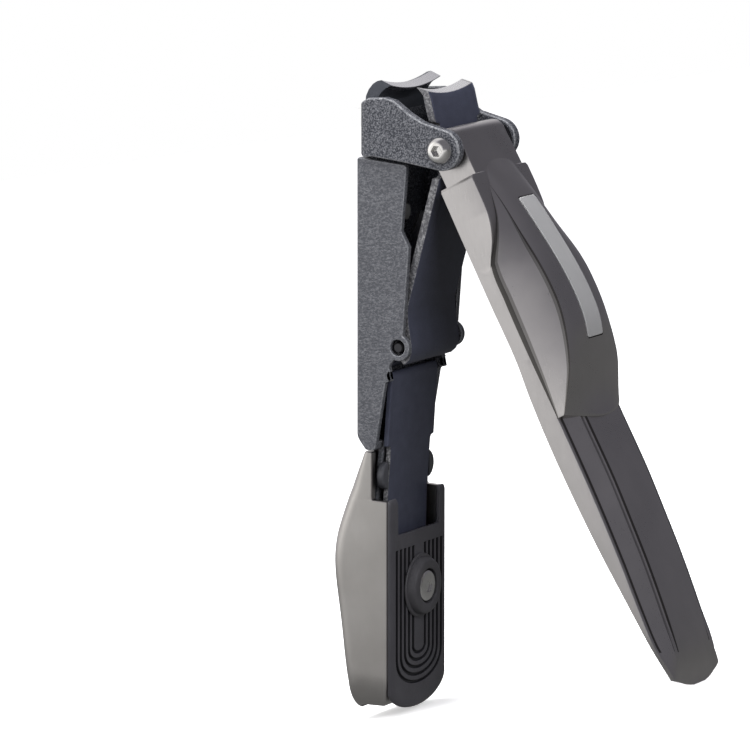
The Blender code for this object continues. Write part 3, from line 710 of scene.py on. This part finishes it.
def make_channel():
    channel = finish_mesh("rear_channel_sheet", side_prism(channel_side(), (-BODY_HALF, BODY_HALF)),
                          [CHANNEL_PAINT, CHANNEL_INSIDE_SHADE])
    bends = column_prism(u_outline(BODY_HALF + TRIM, CHANNEL_BACK + TRIM, 0, 0.9), -60, 5)
    apply_cuts(channel, [tool("channel_bends", bends, CHANNEL_PAINT)], "INTERSECT")
    inner = BODY_HALF - CHANNEL_WALL
    space = column_prism(u_outline(inner, CHANNEL_BACK - CHANNEL_WEB, -5, 0.4), -49.6, 8)
    mouth = side_prism([(-5, -60), (12.5, -60), (12.5, -49), (-5, -49)], (-inner, inner))
    # the inside of the channel takes the darker hammertone as painted shade
    apply_cuts(channel, [tool("channel_space", space, CHANNEL_INSIDE_SHADE),
                         tool("channel_mouth", mouth, CHANNEL_INSIDE_SHADE),
                         hole_tool("channel_bore", "X", (0, *LEAF_HINGE), 1.35, -12, 12, CHANNEL_PAINT)])
    tongue = [(12.5, -49.5), (13.4, -49.5), (15.5, -64.0), (14.6, -64.0)]
    whole_piece("channel_tongue", side_prism(tongue, (-TONGUE_HALF, TONGUE_HALF)), [CHANNEL_PAINT],
                "rear_channel", bevel=0.15)
    # the roundings take a lighter hammertone as a painted highlight
    channel.data.materials.append(CHANNEL_RIM_HIGHLIGHT)
    soften(channel, 0.17, rim=2)
    stand_in(channel, "rear_channel")


def cheek_side():
    """Bracket seen from the side: an ear round the lever's pivot, rising to the jaw's foot."""
    ear = arc((0, 0), 3.4, 100, 280, 30)
    top = [(BRACKET_BACK, 6.9), (13.6, 7.9), (10.6, 8.1), (8.9, 7.7), (6.2, 5.8), (3.6, 4.4)]
    bottom = [(7.0, -2.4), (12.9, -1.75), (BRACKET_BACK, -1.95)]
    return fillet(top + ear + bottom, 1.0)


def make_bracket():
    blank = side_prism(cheek_side(), (-EAR_OUTER, EAR_OUTER))
    bracket = finish_mesh("jaw_bracket_sheet", blank, [BRACKET_PAINT])
    bends = column_prism(u_outline(EAR_OUTER + TRIM, BRACKET_BACK + TRIM, -8, 1.7), -9, 14)
    apply_cuts(bracket, [tool("bracket_bends", bends, BRACKET_PAINT)], "INTERSECT")
    space = column_prism(u_outline(EAR_INNER, WEB_FRONT, -12, 0.9), -12, 16)
    over = side_prism([(8, 5.9), (18, 5.9), (18, 14), (8, 14)], (-EAR_INNER, EAR_INNER))
    apply_cuts(bracket, [tool("bracket_space", space, BRACKET_PAINT),
                         tool("bracket_over", over, BRACKET_PAINT),
                         hole_tool("ear_bore", "X", (0, 0, 0), 1.3, -14, 14, BRACKET_PAINT)])
    # the roundings take a lighter hammertone as a painted highlight
    bracket.data.materials.append(BRACKET_RIM_HIGHLIGHT)
    soften(bracket, 0.25, rim=1)
    stand_in(bracket, "jaw_bracket")
    strap = [(WEB_FRONT, 0), (WEB_BACK, 0), (WEB_BACK, -45), (WEB_FRONT, -45)]
    whole_piece("bracket_strap", side_prism(strap, (-STRAP_HALF, STRAP_HALF)), [BRACKET_PAINT], "jaw_bracket",
                "hammertone_bracket", bevel=0.15)


def claw_grid(profile, half, dip_from, dip, ground, steps=28):
    """Rings across X whose upper points sink towards the middle, for a hollow cutting edge; the
    columns named in ground take the second paint."""
    rings = []
    for i in range(steps + 1):
        x = half * (2 * i / steps - 1)
        sink = dip * (1 - (x / half) ** 2)
        rings.append([(x, y, z - sink * ramp(z, dip_from, dip_from + 3.0)) for y, z in profile])
    return grid(rings, paint_of=lambda row, column: int(column in ground))


def make_rear_claw():
    profile = [(WEB_FRONT, 5.0), (15.1, 5.0), (15.35, 6.8), (15.2, 8.0), (14.7, 9.1),
               (13.9, 10.05), (13.1, 10.55), (12.3, 10.75), (10.5, 10.0), (10.5, 9.9), (11.4, 9.45),
               (12.2, 8.8), (12.8, 8.0), (13.15, 7.0)]
    whole_piece("rear_jaw_claw", claw_grid(profile, CLAW_HALF, 6.4, 1.0, (7, 8, 9)), [JAW_COAT, EDGE_STEEL],
                "jaw_bracket", "hammertone_bracket", bevel=0.06, segments=2, sharp=30)


# Front jaw leaf

def make_leaf():
    front = [(4.0, 9.4), (3.55, 8.3), (3.0, 5.9), (2.55, 4.3), (2.0, 0.0), (1.3, -4.2), (7.5, -27.0)]
    back = [(y + LEAF_THICK, z) for y, z in reversed(front[1:])]
    skin = [(7.35, -29.5), (7.0, -31.5), (6.7, -33.2), (6.75, -34.5), (7.2, -35.6), (8.2, -36.5)]
    knuckle = skin + arc(LEAF_HINGE, 2.1, 300, 380, 12)
    outline = [(6.2, 9.8), (6.0, 9.95)] + front + knuckle + back + [(5.0, 8.6)]
    shape = claw_grid(outline, LEAF_HALF, 6.8, 1.0, (0, 1, len(outline) - 1))
    leaf = finish_mesh("front_jaw_leaf_sheet", shape, [LEAF_COAT, EDGE_STEEL, SHEARED], sharp=30)
    for face in leaf.data.polygons:
        if abs(face.normal.x) > 0.99:
            face.material_index = 2
    beside = [(6.5, -5.0), (12, -5.0), (12, 14), (7.75, 14), (7.75, 4.0), (6.5, 4.0)]
    bore = hole_tool("leaf_bore", "X", (0, *LEAF_HINGE), 1.15, -12, 12, LEAF_COAT)
    apply_cuts(leaf, [bore] + side_tools("leaf_side", beside, 0.6, (-3, 11), SHEARED))
    soften(leaf, 0.12, 2)
    stand_in(leaf, "front_jaw_leaf", "front_leaf")
    tail = fillet([(8.3, -35.0), (9.9, -34.3), (12.4, -36.4), (11.6, -37.3)], 0.3)
    whole_piece("leaf_tail", side_prism(tail, (-LEAF_TAIL_HALF, LEAF_TAIL_HALF)), [LEAF_COAT],
                "front_jaw_leaf", "blued_steel", "front_leaf", bevel=0.1)


# Lower cover and handle

def make_cover():
    line = [(11.6, -37.95), (11.1, -37.95), (10.75, -38.3), (10.6, -39.2), (11.3, -50.0), (12.0, -59.0),
            (12.2, -66.5)]
    back = [(y + COVER_THICK, z) for y, z in reversed(line[3:])] + [(11.6, -38.75)]
    cover = finish_mesh("lower_cover_sheet", side_prism(line + back, (-COVER_HALF, COVER_HALF)),
                        [COVER_COAT, SHEARED])
    beside = [(6.9, -50.5), (6.9, -70), (12, -70), (12, -50.5)]
    apply_cuts(cover, side_tools("cover_side", beside, 0.8, (5, 20), SHEARED))
    soften(cover, 0.14)
    stand_in(cover, "lower_cover")


HOUSING_BACK = [(-51.3, 15.1), (-58.0, 18.3), (-64.5, 20.7), (-67.5, 21.4), (-70.5, 21.6), (-73.5, 21.4),
                (-80.0, 20.5), (-87.0, 19.6), (-90.0, 19.1)]
HOUSING_FRONT = 10.5
HOUSING_STEP = -59.4
HOUSING_CORNER = 2.8
HOUSING_WALL = 1.3
HOUSING_SAG = 3.2


def housing_row(z, front):
    """Ring round the housing at a height: flat front, rounded back corners."""
    back = through(HOUSING_BACK, z)
    return u_outline(BODY_HALF, back, front, min(HOUSING_CORNER, (back - front) * 0.6), 10)


def housing_shape():
    """Handle housing: its bottom is an arc seen from the front and rounded seen from the side."""
    rows = []
    for z in spread(-51.3, HOUSING_STEP + 0.05, 10) + [HOUSING_STEP - 0.05] + spread(-60, -89, 32):
        front = 13.4 if z > HOUSING_STEP else HOUSING_FRONT
        rows.append([(x, y, z) for x, y in housing_row(z, front)])
    for turn in spread(0, 90, 12):
        angle = math.radians(turn)
        shrink = 3.0 * (1 - math.cos(angle))
        low = -89.0 - 4.6 * math.sin(angle)
        ring = housing_row(low, HOUSING_FRONT + 0.1 * shrink)
        middle = 14.0
        scale = 1 - shrink / 9.0
        rows.append([(x * (1 - 0.05 * shrink), middle + (y - middle) * scale, low) for x, y in ring])
    sagged = []
    for row in rows:
        sagged.append([(x, y, z - HOUSING_SAG * ramp(-z, 80, 93.6) * (1 - (x / BODY_HALF) ** 2))
                       for x, y, z in row])
    return grid(sagged)


def make_housing():
    housing = finish_mesh("handle_housing_shell", housing_shape(), [HOUSING_SATIN], sharp=30)
    rows = []
    for z in [-45.0] + spread(-52.5, -90.5, 20):
        back = through(HOUSING_BACK, max(z, -88)) - HOUSING_WALL
        rows.append([(x, y, z) for x, y in u_outline(BODY_HALF - HOUSING_WALL, back, 5.0, 1.5, 6)])
    apply_cuts(housing, [tool("housing_space", grid(rows), HOUSING_SATIN)])
    soften(housing, 0.22, angle=50)
    stand_in(housing, "handle_housing")


PLATE_FRONT = 9.75
PLATE_BACK = 10.47
BOSS_Z = -75.0


def plate_ring(inset):
    """Outline of the grip plate: rounded upper corners and an arched lower end."""
    half = BODY_HALF - 0.05 - inset
    corner = 0.7
    points = arc((-half + corner, -59.2 - inset - corner), corner, 90, 180, 5)
    for i in range(33):
        x = half * (i / 16 - 1)
        points.append((x, -91.2 + inset - (4.6 - 0.25 * inset) * math.sqrt(1 - 0.96 * (x / half) ** 2)))
    return points + arc((half - corner, -59.2 - inset - corner), corner, 0, 90, 5)


def groove_band(half, low, width, top):
    """U-shaped band seen from the front, legs up to top and a rounded foot."""
    def path(reach):
        points = [(-reach, top)]
        for i in range(25):
            angle = math.pi * i / 24
            points.append((-reach * math.cos(angle), low - (reach * 0.62) * math.sin(angle) ** 0.9))
        return points + [(reach, top)]
    return path(half + width / 2) + list(reversed(path(half - width / 2)))


def make_plate():
    rim = ((0, 1.4), (0.03, 1.05), (0.13, 0.62), (0.3, 0.25), (0.5, 0.06), (PLATE_BACK - PLATE_FRONT, 0.0))
    rows = [[(x, PLATE_FRONT + depth, z) for x, z in plate_ring(inset)] for depth, inset in rim]
    plate = finish_mesh("grip_plate_moulding", grid(rows), [PLATE_PLASTIC, GROOVE_SHADE], sharp=30)
    window = fillet([(-7.25, -50), (7.25, -50), (7.25, -65.5), (-7.25, -65.5)], 0.6)
    tools = [tool("plate_window", front_prism(window, (5, 15)), PLATE_PLASTIC),
             hole_tool("plate_bore", "Y", (0, 0, BOSS_Z), 1.5, 5, 15, PLATE_PLASTIC)]
    # the grooves' walls take the painted groove shade
    for i in range(5):
        band = groove_band(7.75 - 1.42 * i, -86.6 + 0.35 * i, 0.72, -68.0)
        tools.append(tool("plate_groove", front_prism(band, (8, PLATE_FRONT + 0.5)), GROOVE_SHADE))
    apply_cuts(plate, tools)
    soften(plate, 0.13, 2)
    stand_in(plate, "grip_plate")


def make_screw(name, node, profile, axis, centre, socket_radius, socket, rounding):
    """Button-head screw turned from its profile, with a hex socket between two places on its axis."""
    screw = finish_mesh(name, turned(profile, axis, centre), [SCREW_BRIGHT], sharp=40)
    apply_cuts(screw, [hole_tool("socket", axis, centre, socket_radius, *socket, SCREW_BRIGHT, 6)])
    soften(screw, rounding, 2)
    stand_in(screw, node)


def make_boss():
    back = PLATE_FRONT - 0.02
    ring = ((0, 1.5), (0, 5.3), (0.25, 5.45), (0.45, 5.3), (0.5, 4.9), (1.45, 4.75), (1.75, 4.55), (1.9, 4.2),
            (1.9, 3.15), (1.75, 2.95), (0.8, 2.9), (0.8, 1.5))
    profile = [(back - height, radius) for height, radius in ring]
    centre = (0, 0, BOSS_Z)
    whole_piece("stop_boss_turning", turned(profile, "Y", centre, 72, ring=True), [BOSS_PLASTIC], "stop_boss",
                "grip_plastic", sharp=40)
    seat = back - 0.8
    head = ((-2, 0), (-2, 1.2), (0, 1.2), (0, 2.7), (0.55, 2.75), (0.85, 2.6), (1.0, 2.3), (1.08, 1.6),
            (1.1, 0))
    profile = [(seat - height, radius) for height, radius in head]
    socket = (seat - 3, seat - 0.75)
    make_screw("stop_boss_screw_head", "stop_boss_screw", profile, "Y", centre, 1.15, socket, 0.08)


def make_button(side, name, node, body):
    """D-shaped tab with a rounded rim and a slightly domed edge."""
    radius = 2.45
    centre = 9.0 - radius
    half_turn = math.degrees(math.acos((7.25 - centre) / radius))
    rows = []
    for y, inset in ((11.7, 0.35), (11.8, 0.12), (12.0, 0.0), (12.8, 0.0), (13.0, 0.12), (13.1, 0.35)):
        face = arc((centre, -55.5), radius - inset, -half_turn, half_turn, 28)
        rows.append([(side * x, y, z) for x, z in face])
    whole_piece(name, grid(rows), [TAB_PLASTIC], node, "button_plastic", body, sharp=30, bevel=0.08)


def make_pivot_end(side, name):
    """Screw head outside an ear and the washer inside it."""
    seat = EAR_OUTER + 0.2
    head = ((0, 1.0), (0, 2.1), (0.12, 2.22), (0.4, 2.24), (0.75, 2.1), (1.05, 1.85), (1.3, 1.5), (1.4, 1.2),
            (1.42, 0))
    profile = [(6.0, 0), (6.0, 1.0)] + [(seat + height, radius) for height, radius in head]
    profile = [(side * x, radius) for x, radius in profile]
    socket = sorted((side * (seat + 0.45), side * (seat + 3)))
    make_screw(f"pivot_screw_head_{name}", f"pivot_screw_{name}", profile, "X", (0, 0, 0), 0.95, socket, 0.07)
    washer = ((8.25, 1.3), (8.25, 2.7), (8.35, 2.85), (8.75, 2.85), (8.85, 2.7), (8.85, 1.3))
    ring = turned([(side * x, radius) for x, radius in washer], "X", (0, 0, 0), ring=True)
    whole_piece(f"pivot_spacer_{name}", ring, [BLACKENED], f"pivot_washer_{name}", "black_steel", sharp=40)


def dress(node, paint):
    """Show a CAD node as it is, with its own finish."""
    shown = frame["nodes"][node]
    shown.data.materials.clear()
    shown.data.materials.append(paint)


make_lever()
make_channel()
make_bracket()
make_rear_claw()
make_leaf()
make_cover()
make_housing()
make_plate()
make_boss()
make_button(-1, "side_tab_left", "side_button_left", "left_button")
make_button(1, "side_tab_right", "side_button_right", "right_button")
make_pivot_end(-1, "left")
make_pivot_end(1, "right")
for node in ("leaf_hinge_pin", "pivot_barrel", "cam_block"):
    dress(node, BLACKENED)
for node in ("jaw_return_spring", "spring_rivet", "spine_rivet_upper", "spine_rivet_lower", "tongue_screw"):
    dress(node, SCREW_DULL)


# Camera, light and floor

CAMERA_AIM = (-22.2, 5.95, -36.0)      # clipper coordinates
CAMERA_AZIMUTH = -61.0
CAMERA_ELEVATION = 9.0
CAMERA_DISTANCE = 930.0
CAMERA_LENS = 273.6
FLOOR_REACH = 4.0         # metres
FLOOR_DROP = 0.00005


def make_camera():
    azimuth = math.radians(CAMERA_AZIMUTH)
    elevation = math.radians(CAMERA_ELEVATION)
    back = Vector((math.sin(azimuth) * math.cos(elevation), -math.cos(azimuth) * math.cos(elevation),
                   math.sin(elevation)))
    right = Vector((math.cos(azimuth), math.sin(azimuth), 0))
    up = back.cross(right)
    place = (Vector(CAMERA_AIM) + back * CAMERA_DISTANCE) * MM
    data = bpy.data.cameras.new("camera")
    data.lens = CAMERA_LENS
    data.sensor_width = 36
    data.clip_end = 50
    camera = bpy.data.objects.new("camera", data)
    bpy.context.scene.collection.objects.link(camera)
    turn = Matrix((right, up, back)).transposed().to_4x4()
    camera.matrix_world = BODY @ Matrix.Translation(place) @ turn
    bpy.context.scene.camera = camera


def make_world():
    """White behind the object; the metal mirrors dim walls that brighten towards the back left."""
    world = bpy.data.worlds.new("studio")
    bpy.context.scene.world = world
    world.use_nodes = True
    tree = world.node_tree
    tree.nodes.clear()

    def node(kind, **settings):
        made = tree.nodes.new(kind)
        for key, value in settings.items():
            setattr(made, key, value)
        return made

    def facing(direction, start, end, low, high):
        """Brightness that changes with the angle to a direction, given as cosines."""
        dot = node("ShaderNodeVectorMath", operation="DOT_PRODUCT")
        tree.links.new(coordinate.outputs["Generated"], dot.inputs[0])
        dot.inputs[1].default_value = Vector(direction).normalized()
        fade = node("ShaderNodeMapRange", interpolation_type="SMOOTHSTEP")
        for name, value in (("From Min", start), ("From Max", end), ("To Min", low), ("To Max", high)):
            fade.inputs[name].default_value = value
        tree.links.new(dot.outputs["Value"], fade.inputs["Value"])
        return fade.outputs["Result"]

    def times(first, second):
        product = node("ShaderNodeMath", operation="MULTIPLY")
        tree.links.new(first, product.inputs[0])
        tree.links.new(second, product.inputs[1])
        return product.outputs["Value"]

    coordinate = node("ShaderNodeTexCoord")
    dark_wall = facing((0.88, -0.46, -0.05), 0.55, 0.8, 1.0, 0.8)
    side_wall = facing((-0.75, 0.66, 0), 0.52, 0.98, 0.175, 1.12)
    ceiling = facing((0.3, 0.75, 0.6), 0.4, 0.75, 0.0, 0.6)
    total = node("ShaderNodeMath", operation="ADD")
    tree.links.new(times(side_wall, dark_wall), total.inputs[0])
    tree.links.new(ceiling, total.inputs[1])
    level = total.outputs["Value"]
    lit = node("ShaderNodeBackground")
    tint = node("ShaderNodeMix", data_type="RGBA")
    tint.inputs["A"].default_value = (0.95, 0.93, 1.08, 1)
    tint.inputs["B"].default_value = (1.0, 0.985, 0.97, 1)
    tree.links.new(level, tint.inputs["Factor"])
    tree.links.new(tint.outputs["Result"], lit.inputs["Color"])
    tree.links.new(level, lit.inputs["Strength"])
    seen = node("ShaderNodeBackground")
    seen.inputs["Color"].default_value = (1, 1, 1, 1)
    path = node("ShaderNodeLightPath")
    choose = node("ShaderNodeMixShader")
    tree.links.new(path.outputs["Is Camera Ray"], choose.inputs["Fac"])
    tree.links.new(lit.outputs["Background"], choose.inputs[1])
    tree.links.new(seen.outputs["Background"], choose.inputs[2])
    output = node("ShaderNodeOutputWorld")
    tree.links.new(choose.outputs["Shader"], output.inputs["Surface"])


def make_light(name, place, aim, size, power):
    data = bpy.data.lights.new(name, "AREA")
    data.shape = "RECTANGLE"
    data.size, data.size_y = size
    data.energy = power
    light = bpy.data.objects.new(name, data)
    bpy.context.scene.collection.objects.link(light)
    light.location = place
    light.rotation_euler = (Vector(aim) - Vector(place)).to_track_quat("-Z", "Y").to_euler()
    light.visible_camera = False
    light.visible_glossy = False


def pale_floor():
    """White in the picture; the metal mirrors a floor that is dim, and brighter at the back left."""
    n = Nodes("pale_floor")
    path = n.add("ShaderNodeLightPath").outputs["Is Camera Ray"]
    behind = n.add("ShaderNodeVectorMath", operation="DOT_PRODUCT")
    behind.inputs[1].default_value = (-0.87, 0.49, 0)
    n.link(n.place, behind.inputs[0])
    share = n.between(behind.outputs["Value"], 0.0, 0.55, 0.0, 1.0)
    base = n.between(behind.outputs["Value"], -0.05, 0.2, 0.15, 0.34)
    tone = n.math("ADD", n.math("MULTIPLY", n.math("POWER", share, 2.0), 0.64), base)
    # what the metal mirrors is the floor's own glow, brighter towards the back left
    mirrored = n.add("ShaderNodeEmission")
    n.link(tone, mirrored.inputs["Strength"])
    away = n.add("ShaderNodeVectorMath", operation="LENGTH")
    n.link(n.place, away.inputs[0])
    # the floor glows where the camera sees it: less near the object, so that the shadow under it shows, and more
    # further out, so that it reads white
    glow = n.between(away.outputs["Value"], 0.04, 0.2, 0.42, 0.75)
    n.set(Base_Color=(0.93, 0.93, 0.93), Roughness=0.8, Emission_Color=(1.0, 1.0, 1.0),
          Emission_Strength=glow)
    choose = n.add("ShaderNodeMixShader")
    n.link(path, choose.inputs["Fac"])
    n.link(mirrored.outputs["Emission"], choose.inputs[1])
    n.link(n.shader.outputs["BSDF"], choose.inputs[2])
    n.link(choose.outputs["Shader"], n.tree.nodes["Material Output"].inputs["Surface"])
    return n.material


def make_floor():
    shape = bmesh.new()
    corners = ((-1, -1), (1, -1), (1, 1), (-1, 1))
    shape.faces.new([shape.verts.new((FLOOR_REACH * x, FLOOR_REACH * y, -FLOOR_DROP)) for x, y in corners])
    mesh = bpy.data.meshes.new("floor")
    shape.to_mesh(mesh)
    shape.free()
    floor = bpy.data.objects.new("floor", mesh)
    bpy.context.scene.collection.objects.link(floor)
    mesh.materials.append(pale_floor())


make_camera()
make_world()
make_light("ceiling_panel", (-0.1, 0.1, 0.8), (0, 0, 0), (0.6, 0.6), 9.0)
make_light("left_panel", (-0.5, 0.0, 0.3), (0, 0, 0.06), (0.4, 0.4), 1.2)
make_light("front_panel", (-0.3, -0.6, 0.25), (0, 0, 0.05), (0.4, 0.4), 4.0)
make_floor()
bpy.context.scene.view_settings.view_transform = "Standard"
